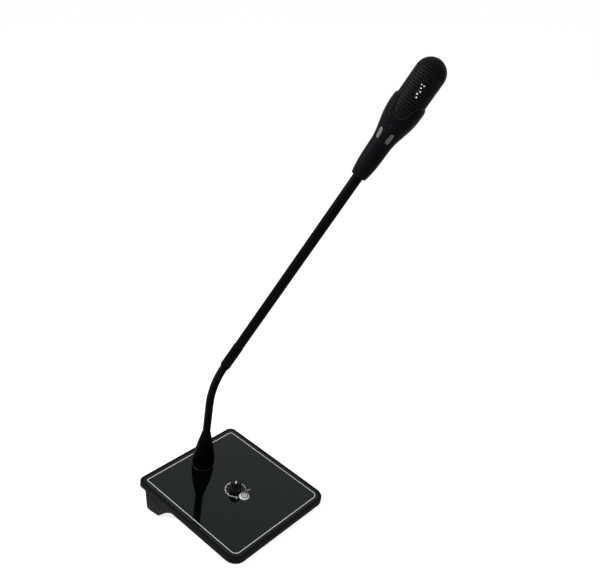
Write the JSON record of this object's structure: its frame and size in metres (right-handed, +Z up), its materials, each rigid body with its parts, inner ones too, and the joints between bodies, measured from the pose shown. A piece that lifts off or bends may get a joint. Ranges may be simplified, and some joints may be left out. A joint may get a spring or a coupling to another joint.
{
  "type": "gooseneck podium microphone",
  "caption": "Desk gooseneck microphone: slim tilted base with knob and power button, rubber boot, flexible neck, straight tube, and a ring-lit head with a domed grille.",
  "frame": {"origin": "on the table under the neck's foot, where the axis of the neck's foot meets the table; it lies on the rear rubber strip", "axes": "+Z up, square to the table; +Y from the controls towards the rear socket; +X to the speaker's right"},
  "size_m": [0.178, 0.2215, 0.4347],
  "materials": {
    "panel_acrylic": "high gloss",
    "housing_plastic": "fine matte texture",
    "rubber_black": "satin",
    "steel_zinc": "zinc plated",
    "nickel": "nickel plated",
    "board_laminate": "solder mask",
    "component_plastic": "moulded",
    "knob_plastic": "satin",
    "button_plastic": "satin white",
    "bezel_plastic": "gloss",
    "neck_enamel": "matte black",
    "tube_enamel": "semi-gloss black",
    "head_plastic": "semi-gloss black",
    "lens_plastic": "frosted",
    "grille_enamel": "matte black",
    "lamp": "clear"
  },
  "bodies": {
    "base": {"top_panel": "panel_acrylic", "top_housing": "housing_plastic", "bottom_cover": "housing_plastic", "controls_pan": "housing_plastic", "rear_housing": "housing_plastic", "housing_screws": "steel_zinc", "rear_foot": "rubber_black", "front_foot": "rubber_black", "ballast_plate": "steel_zinc", "main_circuit_board": "board_laminate", "board_screws": "steel_zinc", "potentiometer": "component_plastic", "button_bezel": "bezel_plastic", "switch_body": "component_plastic", "jack_body": "component_plastic", "jack_bush": "nickel", "jack_washer": "nickel", "jack_nut": "nickel", "neck_stud": "nickel", "neck_washer": "steel_zinc", "neck_lock_nut": "steel_zinc", "neck_boot": "rubber_black", "gooseneck_root": "neck_enamel"},
    "volume_knob": {"volume_knob": "knob_plastic", "knob_shaft": "nickel"},
    "power_button": {"power_button": "button_plastic", "switch_plunger": "component_plastic"},
    "gooseneck_link_1": {"gooseneck_link_1": "neck_enamel"},
    "gooseneck_link_2": {"gooseneck_link_2": "neck_enamel"},
    "gooseneck_link_3": {"gooseneck_link_3": "neck_enamel"},
    "gooseneck_link_4": {"gooseneck_link_4": "neck_enamel"},
    "gooseneck_link_5": {"gooseneck_link_5": "neck_enamel"},
    "gooseneck_link_6": {"gooseneck_link_6": "neck_enamel"},
    "gooseneck_link_7": {"gooseneck_link_7": "neck_enamel"},
    "head": {"gooseneck_tip": "neck_enamel", "lower_ferrule": "tube_enamel", "rigid_tube": "tube_enamel", "head_shell": "head_plastic", "set_screw": "steel_zinc", "light_ring": "lens_plastic", "led_board": "board_laminate", "leds": "lamp", "capsule_carrier": "rubber_black", "microphone_capsule": "nickel", "grille": "grille_enamel"}
  },
  "joints": [
    {"name": "volume_turn", "type": "hinge", "parent": "base", "child": "volume_knob", "pos_m": [0, -0.05443, 0.02519], "axis": [0, -0.1942, 0.981], "range_deg": [-270, 30]},
    {"name": "power_press", "type": "slide", "parent": "base", "child": "power_button", "axis": [0, 0.1942, -0.981], "range_m": [0, 0.001], "stiffness_N_per_m": 1500, "springref_m": -0.0005},
    {"name": "neck_lean_1", "type": "hinge", "parent": "base", "child": "gooseneck_link_1", "pos_m": [0, -0.01486, 0.07502], "axis": [0.7193, 0.6814, 0.1349], "range_deg": [-24, 12]},
    {"name": "neck_sway_1", "type": "hinge", "parent": "gooseneck_link_1", "child": "gooseneck_link_2", "pos_m": [0, -0.01691, 0.08541], "axis": [0.6947, -0.7056, -0.1397], "range_deg": [-14, 14]},
    {"name": "neck_lean_2", "type": "hinge", "parent": "gooseneck_link_2", "child": "gooseneck_link_3", "pos_m": [0, -0.01897, 0.0958], "axis": [0.7193, 0.6814, 0.1349], "range_deg": [-24, 12]},
    {"name": "neck_sway_2", "type": "hinge", "parent": "gooseneck_link_3", "child": "gooseneck_link_4", "pos_m": [0.00003, -0.02105, 0.10618], "axis": [0.6929, -0.6901, -0.2089], "range_deg": [-14, 14]},
    {"name": "neck_lean_3", "type": "hinge", "parent": "gooseneck_link_4", "child": "gooseneck_link_5", "pos_m": [0.00055, -0.02363, 0.11643], "axis": [0.7193, 0.6814, 0.1349], "range_deg": [-24, 12]},
    {"name": "neck_sway_3", "type": "hinge", "parent": "gooseneck_link_5", "child": "gooseneck_link_6", "pos_m": [0.00174, -0.02687, 0.12644], "axis": [0.6722, -0.6338, -0.3828], "range_deg": [-14, 14]},
    {"name": "neck_lean_4", "type": "hinge", "parent": "gooseneck_link_6", "child": "gooseneck_link_7", "pos_m": [0.0036, -0.03075, 0.13611], "axis": [0.7193, 0.6814, 0.1349], "range_deg": [-24, 12]},
    {"name": "neck_sway_4", "type": "hinge", "parent": "gooseneck_link_7", "child": "head", "pos_m": [0.0061, -0.03522, 0.14537], "axis": [0.6378, -0.5709, -0.5169], "range_deg": [-14, 14]}
  ]
}
